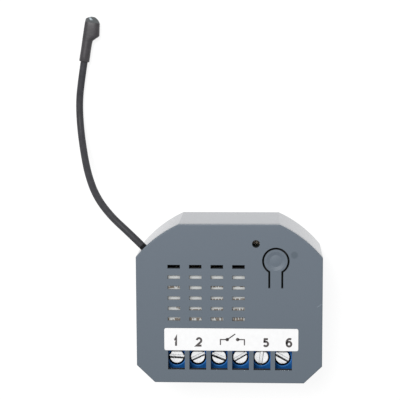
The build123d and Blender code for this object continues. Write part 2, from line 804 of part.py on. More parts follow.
with BuildPart() as fuse_resistor:
    with BuildSketch(Plane.XY.offset(board_top)):
        with Locations((resistor_x, resistor_y)):
            Circle(resistor_radius)
    extrude(amount=resistor_height)
    fillet(fuse_resistor.edges().group_by(Axis.Z)[-1], resistor_fillet)
    over_z = board_top + resistor_height + resistor_bend
    over_y = resistor_y + resistor_spacing
    resistor_leads = [(resistor_x, resistor_y), (resistor_x, over_y)]
    add(leads(resistor_leads, over_z + lead_radius))
    with BuildSketch(Plane.XZ.offset(-resistor_y)):
        with Locations((resistor_x, over_z)):
            Circle(lead_radius)
    extrude(amount=-resistor_spacing)
board_pins += lead_holes(resistor_leads)
save(fuse_resistor, "fuse_resistor")

inductor_spot_shares = (0.8599, 0.7011)
inductor_shares = (0.0628, 0.0951)
inductor_height_share = 0.5652
inductor_flange = 0.9
inductor_waist_share = 0.69
inductor_x, inductor_y = spot(*inductor_spot_shares)
inductor_radius = min(plan_size(*inductor_shares))
inductor_height = inductor_height_share * board_room
inductor_waist = inductor_waist_share * inductor_radius
inductor_spacing = inductor_radius

with BuildPart() as supply_inductor:
    with BuildSketch(Plane.XY.offset(board_top)):
        with Locations((inductor_x, inductor_y)):
            Circle(inductor_radius)
    extrude(amount=inductor_height)
    with BuildSketch(Plane.XY.offset(board_top + inductor_flange)):
        with Locations((inductor_x, inductor_y)):
            Circle(inductor_radius)
            Circle(inductor_waist, mode=Mode.SUBTRACT)
    extrude(amount=inductor_height - 2 * inductor_flange, mode=Mode.SUBTRACT)
    inductor_leads = lead_places(inductor_x, inductor_y, inductor_spacing)
    add(leads(inductor_leads))
board_pins += lead_holes(inductor_leads)
save(supply_inductor, "supply_inductor")


leg_thick_share = 0.125
leg_wide_share = 0.35


def chip(name, place_shares, size_shares, body_height, board_z, legs, leg_reach, sides_along_x):
    """Flat chip package with gull-wing legs along two sides; the legs are in the same
    piece, and they reach leg_reach past the body."""
    x, y = spot(*place_shares)
    size_x, size_y = plan_size(*size_shares)
    length, across = (size_x, size_y) if sides_along_x else (size_y, size_x)
    leg_thick = body_height * leg_thick_share
    leg_pitch = length / legs
    with BuildPart() as package:
        with Locations((x, y, board_z + leg_thick)):
            Box(size_x, size_y, body_height - leg_thick, align=(Align.CENTER, Align.CENTER, Align.MIN))
        chamfer(package.edges().group_by(Axis.Z)[-1], leg_thick)
        with BuildSketch(Plane.XY.offset(board_z)):
            for leg in range(legs):
                along = (leg - (legs - 1) / 2) * leg_pitch
                place = (x + along, y) if sides_along_x else (x, y + along)
                leg_long = across + 2 * leg_reach
                leg_wide = leg_pitch * leg_wide_share
                leg_x, leg_y = (leg_wide, leg_long) if sides_along_x else (leg_long, leg_wide)
                with Locations(place):
                    Rectangle(leg_x, leg_y)
        extrude(amount=body_height / 2)
    save(package, name)


converter_spot_shares = (0.6014, 0.7962)
converter_size_shares = (0.1184, 0.1426)
converter_height = 1.7
converter_legs = 4
rectifier_spot_shares = (0.7271, 0.3574)
rectifier_size_shares = (0.0628, 0.1682)
rectifier_height = 2.4
coupler_spot_shares = [(0.0676, 0.2258), (0.0676, 0.4525)]
coupler_size_shares = (0.0676, 0.1609)
coupler_height = 2.0
short_row_legs = 2
chip_leg_share = 0.0145
chip_leg = chip_leg_share * space_width

chip("supply_converter", converter_spot_shares, converter_size_shares, converter_height,
     board_top, converter_legs, chip_leg, True)
chip("bridge_rectifier", rectifier_spot_shares, rectifier_size_shares, rectifier_height,
     board_top, short_row_legs, chip_leg, False)
for number, place_shares in enumerate(coupler_spot_shares):
    chip(f"input_coupler_{number + 1}", place_shares, coupler_size_shares, coupler_height,
         board_top, short_row_legs, chip_leg, False)

# Header between the boards: a plastic strip under the upper board and a row of pins
header_spot_shares = (0.6522, 0.2843)
header_size_shares = (0.0483, 0.3656)
header_pins = 5
header_height_share = 0.2174
header_pin_radius = 0.25
header_pin_top = 0.8
header_x, header_y = spot(*header_spot_shares)
header_width, header_length = plan_size(*header_size_shares)
header_pitch = header_length / header_pins
header_height = header_height_share * board_room
header_ys = [header_y + (pin - (header_pins - 1) / 2) * header_pitch for pin in range(header_pins)]
header_places = [(header_x, y) for y in header_ys]
board_pins += [(x, y, header_pin_radius + pin_clearance) for x, y in header_places]

with BuildPart() as board_header:
    with Locations((header_x, header_y, upper_board_bottom)):
        header_align = (Align.CENTER, Align.CENTER, Align.MAX)
        Box(header_width, header_length, header_height, align=header_align)
    with BuildSketch(Plane.XY.offset(upper_board_bottom)):
        with Locations(*header_places):
            Circle(header_pin_radius + pin_clearance / 2)
    extrude(amount=-header_height, mode=Mode.SUBTRACT)
save(board_header, "board_header")

with BuildPart() as header_pin_row:
    with BuildSketch(Plane.XY.offset(pin_bottom)):
        with Locations(*header_places):
            Circle(header_pin_radius)
    extrude(amount=upper_board_top + header_pin_top - pin_bottom)
save(header_pin_row, "header_pin_row")

# Main board: it rests on the housing's ledge, notched round the pillars, with a hole for
# every pin
with BuildPart() as main_board:
    with BuildSketch(Plane.XY.offset(board_bottom)):
        add(body_outline(wall + board_edge_gap))
        for x, y, size_x, size_y in pillars:
            with Locations((x, y)):
                Rectangle(size_x + 2 * board_edge_gap, size_y + 2 * board_edge_gap, mode=Mode.SUBTRACT)
        for x, y, hole_radius in board_pins:
            with Locations((x, y)):
                Circle(hole_radius, mode=Mode.SUBTRACT)
    extrude(amount=board_thickness)
save(main_board, "main_board")

# Upper board: an angle round the relay's corner, on the header and the two pillars
upper_left_share = 0.4541
upper_gap = 0.8
upper_arm_share = 0.0658
upper_left = space_left + upper_left_share * space_width
upper_arm_gap = upper_arm_share * space_height
upper_lower_y = space_bottom + upper_gap

with BuildPart() as upper_board:
    with BuildSketch(Plane.XY.offset(upper_board_bottom)):
        add(body_outline(wall + board_edge_gap))
        with Locations((upper_left, relay_top_y + upper_arm_gap)):
            Rectangle(width, height, align=(Align.MAX, Align.CENTER), mode=Mode.SUBTRACT)
        with Locations((relay_right + upper_gap, relay_top_y + upper_arm_gap)):
            Rectangle(width, height, align=(Align.MAX, Align.MAX), mode=Mode.SUBTRACT)
        with Locations((relay_right, upper_lower_y)):
            Rectangle(width, height, align=(Align.CENTER, Align.MAX), mode=Mode.SUBTRACT)
        with Locations(*header_places):
            Circle(header_pin_radius + pin_clearance, mode=Mode.SUBTRACT)
    extrude(amount=upper_board_thickness)
save(upper_board, "upper_board")

# Parts on the upper board: the status light under its hole, the radio's shield, the
# chip beneath it, the controller chip and its crystal
light_length = 2.0
light_width = 1.25
light_height = 0.8
light_pad = 0.45
light_lens = 0.3

with BuildPart() as status_light:
    with Locations((light_x, light_y, upper_board_top)):
        Box(light_length, light_width, light_lens, align=(Align.CENTER, Align.CENTER, Align.MIN))
        lens_align = (Align.CENTER, Align.CENTER, Align.MIN)
        Box(light_length - 2 * light_pad, light_width, light_height, align=lens_align)
save(status_light, "status_light")

shield_spot_shares = (0.8285, 0.255)
shield_size_shares = (0.2174, 0.2925)
shield_x, shield_y = spot(*shield_spot_shares)
shield_length, shield_width = plan_size(*shield_size_shares)
shield_height = 1.7
shield_wall = 0.3
shield_fillet = 0.25

with BuildPart() as radio_shield:
    with Locations((shield_x, shield_y, upper_board_top)):
        shield_align = (Align.CENTER, Align.CENTER, Align.MIN)
        Box(shield_length, shield_width, shield_height, align=shield_align)
    fillet(radio_shield.edges().group_by(Axis.Z)[1:], shield_fillet)
    with Locations((shield_x, shield_y, upper_board_top)):
        inner_length = shield_length - 2 * shield_wall
        inner_width = shield_width - 2 * shield_wall
        Box(inner_length, inner_width, shield_height - shield_wall, align=shield_align, mode=Mode.SUBTRACT)
save(radio_shield, "radio_shield")

radio_size_shares = (0.1208, 0.1463)
radio_height = 0.9
radio_leg_share = 0.0121
radio_leg = radio_leg_share * space_width
radio_legs = 6
chip("radio_chip", shield_spot_shares, radio_size_shares, radio_height, upper_board_top,
     radio_legs, radio_leg, True)

controller_spot_shares = (0.8768, 0.723)
controller_size_shares = (0.058, 0.1609)
controller_height = 1.1
controller_legs = 5
chip("controller_chip", controller_spot_shares, controller_size_shares, controller_height,
     upper_board_top, controller_legs, radio_leg, False)

crystal_spot_shares = (0.6594, 0.6024)
crystal_size_shares = (0.0773, 0.0914)
crystal_x, crystal_y = spot(*crystal_spot_shares)
crystal_length, crystal_width = plan_size(*crystal_size_shares)
crystal_height = 0.8
crystal_fillet = 0.2

with BuildPart() as radio_crystal:
    with Locations((crystal_x, crystal_y, upper_board_top)):
        Box(crystal_length, crystal_width, crystal_height, align=(Align.CENTER, Align.CENTER, Align.MIN))
    fillet(radio_crystal.edges().group_by(Axis.Z)[-1], crystal_fillet)
save(radio_crystal, "radio_crystal")


run_share = 0.45


def wire_tube(points):
    """Round wire along straight runs joined by arcs. Each arc takes up the same share of
    the shorter run beside it: its radius is that length over the tangent of half the turn."""
    runs = [end - start for start, end in zip(points, points[1:])]
    radii = []
    for before, after in zip(runs, runs[1:]):
        half_turn = math.radians(before.get_angle(after)) / 2
        radii.append(run_share * min(before.length, after.length) / math.tan(half_turn))
    with BuildPart() as tube:
        with BuildLine() as path:
            FilletPolyline(*points, radius=radii)
        with BuildSketch(Plane(origin=points[0], z_dir=runs[0])):
            Circle(wire_radius)
        sweep()
    length = sum(edge.length for edge in path.line.edges())
    section = math.pi * wire_radius**2
    print("radii", [round(radius, 1) for radius in radii], "length", round(length, 2))
    print("volume over section times length", round(tube.part.volume / section / length, 4))
    return tube


# Antenna wire's free stretch: its corner points, each as a step along x and y from the
# exit and the share of the wire's height there that is left
antenna_steps = [
    (-3.645, 3.606),
    (-7.945, 7.156),
    (-11.745, 11.256),
    (-14.145, 16.056),
    (-15.745, 21.456),
    (-16.845, 27.156),
    (-17.145, 33.056),
    (-16.545, 38.156),
    (-15.695, 43.256),
]
antenna_rest = 0.95
antenna_height_shares = [0.99546, 0.89259, 0.68684, 0.46293, 0.22088, 0.03933, 0.0, 0.02118, 0.02118]
antenna_points = [exit_point]
for (step_x, step_y), height_share in zip(antenna_steps, antenna_height_shares):
    point_z = antenna_rest + height_share * (wire_z - antenna_rest)
    antenna_points.append(Vector(exit_point.X + step_x, exit_point.Y + step_y, point_z))
antenna_wire = wire_tube(antenna_points)
save(antenna_wire, "antenna_wire")

# Antenna wire's inner stretch: from the exit notch, above the relay's top edge, to the
# upper board
lead_spot_shares = [
    (0.1715, 0.734),
    (0.3019, 0.7486),
    (0.4179, 0.7706),
    (0.5097, 0.7779),
]
lead_raised = 2
lead_straight = 3.2
lead_seat = upper_board_top + wire_radius + wire_gap
lead_points = [exit_point, exit_point - exit_direction * lead_straight]
for number, place_shares in enumerate(lead_spot_shares):
    lead_z = wire_z if number < lead_raised else lead_seat
    lead_points.append(Vector(*spot(*place_shares), lead_z))
antenna_lead = wire_tube(lead_points)
save(antenna_lead, "antenna_lead")

# Antenna tip: a heat-shrunk sleeve with a flattened, rounded end
sleeve_radius = 1.25
sleeve_length = 5.6
bulb_length = 5.4
bulb_width = 3.65
bulb_height = 2.5
bulb_fillet = 1.1

with BuildPart() as antenna_tip:
    tip_start = antenna_points[-1]
    tip_direction = (tip_start - antenna_points[-2]).normalized()
    tip_side = tip_direction.cross(Vector(0, 0, 1))
    with BuildSketch(Plane(origin=tip_start, x_dir=tip_side, z_dir=tip_direction)):
        Circle(sleeve_radius)
    extrude(amount=sleeve_length)
    bulb_shift = bulb_width / 2 - sleeve_radius
    bulb_origin = tip_start + tip_direction * sleeve_length + tip_side * bulb_shift
    with BuildSketch(Plane(origin=bulb_origin, x_dir=tip_side, z_dir=tip_direction)):
        RectangleRounded(bulb_width, bulb_height, bulb_fillet)
    extrude(amount=bulb_length)
save(antenna_tip, "antenna_tip")
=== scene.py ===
import math

import bpy
import numpy as np
from mathutils import Matrix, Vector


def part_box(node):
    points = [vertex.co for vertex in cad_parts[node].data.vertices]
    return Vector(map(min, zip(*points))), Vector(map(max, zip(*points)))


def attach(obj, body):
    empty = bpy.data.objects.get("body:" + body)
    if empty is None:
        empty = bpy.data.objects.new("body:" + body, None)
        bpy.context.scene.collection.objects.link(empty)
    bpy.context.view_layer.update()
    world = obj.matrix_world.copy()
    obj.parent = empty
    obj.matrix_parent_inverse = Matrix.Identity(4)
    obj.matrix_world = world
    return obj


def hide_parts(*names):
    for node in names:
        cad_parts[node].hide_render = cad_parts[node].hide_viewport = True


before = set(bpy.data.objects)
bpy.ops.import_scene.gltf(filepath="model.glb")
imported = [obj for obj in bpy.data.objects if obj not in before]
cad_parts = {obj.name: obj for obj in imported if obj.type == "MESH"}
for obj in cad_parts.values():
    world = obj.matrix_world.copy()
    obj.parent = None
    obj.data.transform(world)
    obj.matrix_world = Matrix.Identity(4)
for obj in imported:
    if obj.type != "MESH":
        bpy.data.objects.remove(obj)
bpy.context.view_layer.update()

# Camera: it looks down on the module's front face as it lies on its back, from a little
# beyond its top edge, so that a strip of the top wall and of both round arcs shows.
camera_data = bpy.data.cameras.new("camera")
camera_data.sensor_width = 36.0
camera_data.lens = 118.28
camera_data.clip_start = 0.01
camera = bpy.data.objects.new("camera", camera_data)
bpy.context.scene.collection.objects.link(camera)
camera.matrix_world = Matrix(
    (
        (0.9988, -0.0023, 0.0496, 0.00848),
        (-0.0046, 0.9903, 0.1389, 0.06746),
        (-0.0495, -0.1390, 0.9891, 0.32332),
        (0, 0, 0, 1),
    )
)
bpy.context.scene.camera = camera


# Antenna wire: stranded copper in a smooth black jacket. It leaves the left arc square to
# it, comes down under its own weight and then lies on the surface as far as its tip. The
# jacket is painted nearly black where it passes through the housing, as painted shade.
class Field:
    """A number, colour or vector that varies over a surface. Sums on it add Math nodes."""

    def __init__(self, socket):
        self.socket = socket

    def node(self, kind, settings=None, sockets=None, out=0):
        """Adds a node of that type: first its settings, then what its sockets hold."""
        made = self.socket.id_data.nodes.new(kind)
        for key, value in (settings or {}).items():
            setattr(made, key, value)
        for key, value in (sockets or {}).items():
            feed(made.inputs[key], value)
        return Field(made.outputs[out])

    def math(self, operation, other=0.0, swapped=False):
        """A Math node on this and another number. Swapped puts the other one first."""
        pair = (other, self) if swapped else (self, other)
        return self.node("ShaderNodeMath", {"operation": operation}, dict(enumerate(pair)))

    def __add__(self, other):
        return self.math("ADD", other)

    def __sub__(self, other):
        return self.math("SUBTRACT", other)

    def __rsub__(self, other):
        return self.math("SUBTRACT", other, swapped=True)

    def __mul__(self, other):
        return self.math("MULTIPLY", other)

    def __truediv__(self, other):
        return self.math("DIVIDE", other)

    def __gt__(self, other):
        return self.math("GREATER_THAN", other)

    def __lt__(self, other):
        return self.math("LESS_THAN", other)

    def __abs__(self):
        return self.math("ABSOLUTE")

    __radd__ = __add__
    __rmul__ = __mul__

    def step(self, low, high):
        """0 below low and 1 above high, with a smooth rise between them."""
        sockets = {"Value": self, "From Min": low, "From Max": high}
        return self.node("ShaderNodeMapRange", {"interpolation_type": "SMOOTHSTEP"}, sockets)

    def tint(self, low, high):
        """The first colour where this is 0 and the second where it is 1."""
        first_colour, second_colour, mixed_colour = 6, 7, 2
        first, second = (end if isinstance(end, Field) else (*end, 1) for end in (low, high))
        sockets = {"Factor": self, first_colour: first, second_colour: second}
        return self.node("ShaderNodeMix", {"data_type": "RGBA"}, sockets, mixed_colour)

    def from_nearest(self, first, pitch):
        """How far this is past the nearest of a row of places that stand a pitch apart."""
        return ((self - first) / pitch + 0.5).math("FRACT") * pitch - pitch / 2

    def scaled(self, by):
        """A place whose three parts are each multiplied by a number of their own."""
        return self.node("ShaderNodeVectorMath", {"operation": "MULTIPLY"}, {0: self, 1: by})


def feed(socket, value):
    """Puts a constant into a socket, or links a field to it."""
    if isinstance(value, Field):
        socket.id_data.links.new(value.socket, socket)
    else:
        socket.default_value = value


class Finish:
    """A surface finish: its material, and places on it in millimetres along x, y and z."""

    def __init__(self, name):
        self.material = bpy.data.materials.new(name)
        self.material.use_nodes = True
        nodes = self.material.node_tree.nodes
        self.shader = nodes["Principled BSDF"]
        in_metres = Field(nodes.new("ShaderNodeTexCoord").outputs["Object"])
        self.place = in_metres.scaled((1000.0,) * 3)
        split = nodes.new("ShaderNodeSeparateXYZ")
        feed(split.inputs[0], self.place)
        self.x, self.y, self.z = (Field(part) for part in split.outputs)

    def far_squared(self, middle_x, middle_y):
        """The square of how far a place is from that one, seen from straight above."""
        away_x, away_y = self.x - middle_x, self.y - middle_y
        return away_x * away_x + away_y * away_y

    def noise(self, scale, detail=2.0, rough=0.5, stretch=(1.0, 1.0, 1.0)):
        """Cloudy noise from 0 to 1, with that many swirls per millimetre along each axis."""
        place = self.place.scaled(stretch)
        sockets = {"Vector": place, "Scale": scale, "Detail": detail, "Roughness": rough}
        return place.node("ShaderNodeTexNoise", {}, sockets)

    def bump(self, height, depth):
        """Feeds a relief that is depth millimetres deep to the shader's normal."""
        sockets = {"Height": height, "Strength": 1.0, "Distance": depth / 1000}
        feed(self.shader.inputs["Normal"], height.node("ShaderNodeBump", {}, sockets))

    def shade(self, **values):
        """Sets the shader's sockets, whose names are written with low lines for spaces."""
        for key, value in values.items():
            feed(self.shader.inputs[key.replace("_", " ")], value)
        return self.material


def dress(material, *names):
    """Gives the named CAD pieces that material."""
    for name in names:
        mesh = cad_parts[name].data
        mesh.materials.clear()
        mesh.materials.append(material)


wire_diameter = 0.00175
wire_points = (
    (-0.020255, 0.013144, 0.017475),
    (-0.0239, 0.01675, 0.0174),
    (-0.0282, 0.0203, 0.0157),
    (-0.0320, 0.0244, 0.0123),
    (-0.0344, 0.0292, 0.0086),
    (-0.0360, 0.0346, 0.0046),
    (-0.0371, 0.0403, 0.0016),
    (-0.0374, 0.0462, 0.00095),
    (-0.0368, 0.0513, 0.0013),
    (-0.03595, 0.0564, 0.0013),
)
wire_curve = bpy.data.curves.new("antenna_wire_jacket", "CURVE")
wire_curve.dimensions = "3D"
wire_curve.resolution_u = 16
wire_curve.bevel_depth = wire_diameter / 2
wire_curve.bevel_resolution = 6
wire_curve.use_fill_caps = True
wire_spline = wire_curve.splines.new("NURBS")
wire_spline.points.add(len(wire_points) - 1)
for spot, place in zip(wire_spline.points, wire_points):
    spot.co = (*place, 1)
wire_spline.order_u = 3
wire_spline.use_endpoint_u = True
antenna = bpy.data.objects.new("antenna_jacket", wire_curve)
bpy.context.scene.collection.objects.link(antenna)

jacket = Finish("wire_jacket")
jacket_haze = jacket.noise(0.9, 3.0)
jacket.bump(jacket.noise(7.0, 3.0), 0.012)
exit_x, exit_y, _ = (1000 * part for part in wire_points[0])
exit_away = abs(jacket.x - exit_x) + abs(jacket.y - exit_y)
# Painted shade: the jacket turns nearly black within about a millimetre of the exit.
exit_shade_to, exit_lit_from = 0.85, 1.2
jacket_tone = jacket_haze.step(0.3, 0.75).tint((0.042, 0.042, 0.047), (0.055, 0.055, 0.061))
jacket.shade(
    Base_Color=exit_away.step(exit_shade_to, exit_lit_from).tint((0.004, 0.004, 0.005), jacket_tone),
    Roughness=0.34 + 0.1 * jacket_haze,
    Specular_IOR_Level=0.12,
)
wire_curve.materials.append(jacket.material)
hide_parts("antenna_wire")
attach(antenna, "module")
dress(jacket.material, "antenna_lead")


# Antenna tip: a length of heat-shrunk sleeve over the wire's end. It grips the wire as a
# round tube, then swells on one side over the folded wire. Its pinched end is smoother and
# is painted lighter as painted light, and a bright patch on it is a painted glint.
def put_mesh(name, verts, faces, material, smooth=True):
    """A mesh object at the origin from an array of corners and a list of faces."""
    mesh = bpy.data.meshes.new(name)
    corners = [tuple(v) for v in np.asarray(verts, float)]
    mesh.from_pydata(corners, [], [tuple(map(int, f)) for f in faces])
    mesh.validate()
    mesh.polygons.foreach_set("use_smooth", [smooth] * len(mesh.polygons))
    mesh.materials.append(material)
    made = bpy.data.objects.new(name, mesh)
    bpy.context.scene.collection.objects.link(made)
    return made


def grid_faces(rows, around):
    """Quads of a grid of rows of points that closes on itself around, wound outwards for
    rows that climb and points that run anticlockwise seen from the far end."""
    row, turn = np.meshgrid(np.arange(rows - 1), np.arange(around), indexing="ij")
    a, b = row * around + turn, row * around + (turn + 1) % around
    return np.stack([a, b, b + around, a + around], -1).reshape(-1, 4)


def swept_skin(line, side, up, half_widths, half_heights, shifts, powers, around=48):
    """Rings round the points of a line: a point at angle t stands at shift + half width *
    |cos t|^power to the side and half height * |sin t|^power up, each with its own sign.
    A last point at the middle of its ring closes each end."""
    turn = np.linspace(0, 2 * np.pi, around, endpoint=False)
    c, s = np.cos(turn)[None, :], np.sin(turn)[None, :]
    power = powers[:, None]
    across = shifts[:, None] + half_widths[:, None] * np.sign(c) * np.abs(c) ** power
    above = half_heights[:, None] * np.sign(s) * np.abs(s) ** power
    rings = line[:, None, :] + across[..., None] * side + above[..., None] * up
    faces = [tuple(f) for f in grid_faces(len(line), around)]
    ends = [line[0] + side * shifts[0], line[-1] + side * shifts[-1]]
    first, last = len(line) * around, len(line) * around + 1
    top = (len(line) - 1) * around
    for k in range(around):
        faces.append((first, (k + 1) % around, k))
        faces.append((last, top + k, top + (k + 1) % around))
    return np.vstack([rings.reshape(-1, 3), ends]), faces


tip_start = np.array(wire_points[-1])
tip_way = tip_start - np.array(wire_points[-2])
tip_way[2] = 0.0
tip_way /= np.linalg.norm(tip_way)
tip_side = np.array([tip_way[1], -tip_way[0], 0.0])
# One row for each ring: how far along it stands, its half width and half height, how far
# it lies to the side, all in millimetres, and its power: 1 is an oval and less is boxier.
tip_rings = np.array(
    (
        (0.0, 1.02, 1.02, 0.0, 1.0),
        (0.06, 1.2, 1.2, 0.0, 1.0),
        (0.2, 1.25, 1.25, 0.0, 1.0),
        (1.4, 1.25, 1.25, 0.0, 1.0),
        (2.9, 1.23, 1.22, 0.0, 1.0),
        (4.6, 1.25, 1.2, 0.01, 0.95),
        (5.3, 1.29, 1.2, 0.05, 0.9),
        (5.5, 1.38, 1.21, 0.12, 0.85),
        (6.0, 1.62, 1.23, 0.38, 0.78),
        (6.5, 1.9, 1.25, 0.65, 0.72),
        (6.8, 2.0, 1.25, 0.76, 0.7),
        (8.2, 1.91, 1.24, 0.67, 0.68),
        (9.6, 1.82, 1.23, 0.6, 0.7),
        (9.75, 1.8, 1.19, 0.6, 0.7),
        (10.0, 1.75, 1.02, 0.55, 0.75),
        (10.5, 1.55, 0.6, 0.4, 0.85),
        (10.85, 1.05, 0.3, 0.45, 1.0),
        (11.12, 0.43, 0.1, 0.57, 1.0),
    )
)
tip_along, tip_half_width, tip_half_height, tip_shift = 0.001 * tip_rings[:, :4].T
tip_power = tip_rings[:, 4]
tip_verts, tip_faces = swept_skin(
    tip_start + tip_along[:, None] * tip_way,
    tip_side,
    np.array([0.0, 0.0, 1.0]),
    tip_half_width,
    tip_half_height,
    tip_shift,
    tip_power,
)
sleeve = Finish("sleeve_rubber")
sleeve_haze = sleeve.noise(0.8, 3.0)
sleeve.bump(sleeve.noise(1.6, 3.0, 0.6), 0.03)
tip_from = 1000 * tip_start
from_x, from_y = sleeve.x - tip_from[0], sleeve.y - tip_from[1]
sleeve_along = from_x * tip_way[0] + from_y * tip_way[1]
sleeve_across = from_x * tip_side[0] + from_y * tip_side[1]
# The pinched end is painted lighter, as painted light where it faces the lamp.
pinch_start, pinch_full = 9.68, 9.85
pinched = sleeve_along.step(pinch_start, pinch_full)
# A painted glint: a bright, bluish patch near the pinched end.
glint_across, glint_along, glint_slant = 0.1, 10.6, 0.4
glint_half_width, glint_half_length = 0.75, 0.42
past_glint = abs(sleeve_along - glint_along + glint_slant * sleeve_across)
from_glint = abs(sleeve_across - glint_across) / glint_half_width + past_glint / glint_half_length
painted_glint = (1 - from_glint.step(0.35, 1.0)) * (0.4 + sleeve.noise(2.5))
sleeve_tone = sleeve_haze.step(0.3, 0.8).tint((0.022, 0.020, 0.023), (0.036, 0.032, 0.037))
sleeve_end_lit_tone = pinched.tint(sleeve_tone, (0.075, 0.083, 0.085))
sleeve.shade(
    Base_Color=painted_glint.tint(sleeve_end_lit_tone, (0.5, 0.58, 0.63)),
    Roughness=0.40 + 0.12 * sleeve_haze - 0.3 * pinched,
)
tip = put_mesh("antenna_sleeve", tip_verts, tip_faces, sleeve.material)
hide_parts("antenna_tip")
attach(tip, "module")

# Floor and light: a pale sheet under the module, one large soft lamp above its top edge
# and an even white room. The sheet shows white and keeps a soft shadow.
floor_data = bpy.data.meshes.new("floor")
floor_reach, floor_level = 3.0, -1e-4
corner_signs = ((-1, -1), (1, -1), (1, 1), (-1, 1))
floor_corners = [(floor_reach * x, floor_reach * y, floor_level) for x, y in corner_signs]
floor_data.from_pydata(floor_corners, [], [(0, 1, 2, 3)])
floor = bpy.data.objects.new("floor", floor_data)
bpy.context.scene.collection.objects.link(floor)
sheet = bpy.data.materials.new("floor_sheet")
sheet.use_nodes = True
sheet.node_tree.nodes.clear()


def seen_directly(tree):
    """1 for rays that the camera, a gloss or a clear piece sends out, and 0 for the rest."""
    path = tree.nodes.new("ShaderNodeLightPath")
    names = ("Is Camera Ray", "Is Glossy Ray", "Is Transmission Ray")
    from_camera, from_gloss, from_clear = (Field(path.outputs[name]) for name in names)
    return (from_camera + from_gloss + from_clear).step(0.4, 0.6)


seen = seen_directly(sheet.node_tree)
plain = seen.node("ShaderNodeBsdfDiffuse", {}, {"Color": (0.8, 0.8, 0.8, 1)})
shaded = seen.node("ShaderNodeBsdfDiffuse", {}, {"Color": (0.2, 0.2, 0.2, 1)})
sheet_glow = 0.86
glow = seen.node("ShaderNodeEmission", {}, {"Color": (1, 1, 1, 1), "Strength": sheet_glow})
bright = seen.node("ShaderNodeAddShader", {}, {0: shaded, 1: glow})
both = seen.node("ShaderNodeMixShader", {}, {0: seen, 1: plain, 2: bright})
sheet_end = sheet.node_tree.nodes.new("ShaderNodeOutputMaterial")
feed(sheet_end.inputs["Surface"], both)
floor_data.materials.append(sheet)

lamp_data = bpy.data.lights.new("soft_lamp", "AREA")
lamp_data.shape = "DISK"
lamp_data.size = 0.5
lamp_data.energy = 8.1
lamp = bpy.data.objects.new("soft_lamp", lamp_data)
bpy.context.scene.collection.objects.link(lamp)
lamp.location = (-0.22, 0.46, 0.97)
lamp.rotation_euler = (-lamp.location).to_track_quat("-Z", "Y").to_euler()

room = bpy.data.worlds.new("room")
bpy.context.scene.world = room
room.use_nodes = True
room_seen = seen_directly(room.node_tree)
room_light = room.node_tree.nodes["Background"]
room_level = 0.48
feed(room_light.inputs["Strength"], room_level + (1 - room_level) * room_seen)
room_light.inputs["Color"].default_value = (1, 1, 1, 1)
bpy.context.scene.view_settings.view_transform = "Standard"

# Housing, front cover and button: dark blue-grey plastic, moulded in two shells that snap
# together. The front has a fine spark-eroded grain and the pulled side walls are smoother.
def moulded(name, dark, pale, gloss):
    """The grey plastic: a fine grain, clouds between two tones, painted paler towards the top
    edge as painted light, and a few light specks.
    """
    made = Finish(name)
    made.grain = made.noise(9.0, 3.0, 0.6)
    made.tone = (made.y * 0.02 + 0.5 + 0.25 * made.noise(0.12)).tint(dark, pale)
    made.speck = 0.3 * made.noise(3.2, 2.0, 0.7).step(0.70, 0.78)
    made.shade(Specular_IOR_Level=gloss)
    return made


speck_tone, grain_rough = (0.3, 0.34, 0.39), 0.14
wall_finish = moulded("housing_wall", (0.112, 0.128, 0.156), (0.128, 0.145, 0.178), gloss=1.0)
wall_finish.bump(wall_finish.grain, 0.001)
wall_finish.shade(
    Base_Color=wall_finish.speck.tint(wall_finish.tone, speck_tone),
    Roughness=0.05 + grain_rough * wall_finish.grain,
)
dress(wall_finish.material, "rear_housing")

face_finish = moulded("housing_face", (0.102, 0.1275, 0.155), (0.119, 0.146, 0.179), gloss=0.4)
face_top = 20.0
x, y, face_drop = face_finish.x, face_finish.y, face_top - face_finish.z
near_face = face_drop < 0.5
# The mould's pushing pin left a faint round mark, and something drew a short light
# scratch over the right edge.
pin_x, pin_y, pin_radius = 15.3, 11.9, 0.85
from_pin = face_finish.far_squared(pin_x, pin_y)
pin_mark = (1 - from_pin.step(pin_radius**2 * 0.35, pin_radius**2 * 1.5)) * near_face
face_finish.bump(face_finish.grain + 1.5 * pin_mark, 0.012)
slope_x, slope_y = 0.82, 0.57
scratch_along, scratch_across = x * slope_x + y * slope_y, y * slope_x - x * slope_y
scratch_middle, scratch_line = 17.4, -12.25
scratch = 1 - abs(scratch_across - scratch_line).step(0.02, 0.06)
scratch = scratch * (1 - abs(scratch_along - scratch_middle).step(0.5, 0.9))
# The cut walls of the windows, the key slot and the vents' top row, and all that lies more
# than half a millimetre below the face, are matt and painted dark as painted shade. The
# other vents' walls are painted pale, as painted light bounced off the relay's pale case.
vents_left, vents_right, vents_low, vents_high, top_row_low = -15.2, 4.2, -4.6, 10.0, 7.8
windows_top, key_low, button_x, button_y, dish_radius = -10.9, -0.6, 10.98, 10.42, 2.6
openings_reach, openings_high, openings_low = 15.2, 14.2, -17.5
below, deep_wall = face_drop.step(0.04, 0.07), face_drop.step(0.45, 0.55)
vent_wall = below * (vents_right > x) * (x > vents_left) * (vents_high > y) * (y > vents_low)
beside_dish = face_finish.far_squared(button_x, button_y) > dish_radius**2
key_wall = (x > vents_right) * (y > key_low) * beside_dish
shade_painted_wall = deep_wall + below * ((windows_top > y) + key_wall) + vent_wall * (y > top_row_low)
inside = (openings_reach > abs(x)) * (openings_high > y) * (y > openings_low)
shade_painted_wall = (shade_painted_wall * inside).step(0.0, 1.0)
outer_wall = face_drop.step(0.1, 0.2) * (1 - inside)
light_painted_wall = vent_wall * (top_row_low > y) * near_face
marked = pin_mark.tint(face_finish.tone, (0.084, 0.108, 0.134))
plain_face = (face_finish.speck + 0.8 * scratch).tint(marked, speck_tone)
shade_painted_face = shade_painted_wall.tint(plain_face, (0.022, 0.026, 0.03))
face_finish.shade(
    Base_Color=light_painted_wall.tint(shade_painted_face, (0.23, 0.24, 0.24)),
    Roughness=0.42 + 0.45 * shade_painted_wall + grain_rough * face_finish.grain - 0.34 * outer_wall,
)
dress(face_finish.material, "front_cover", "program_button")

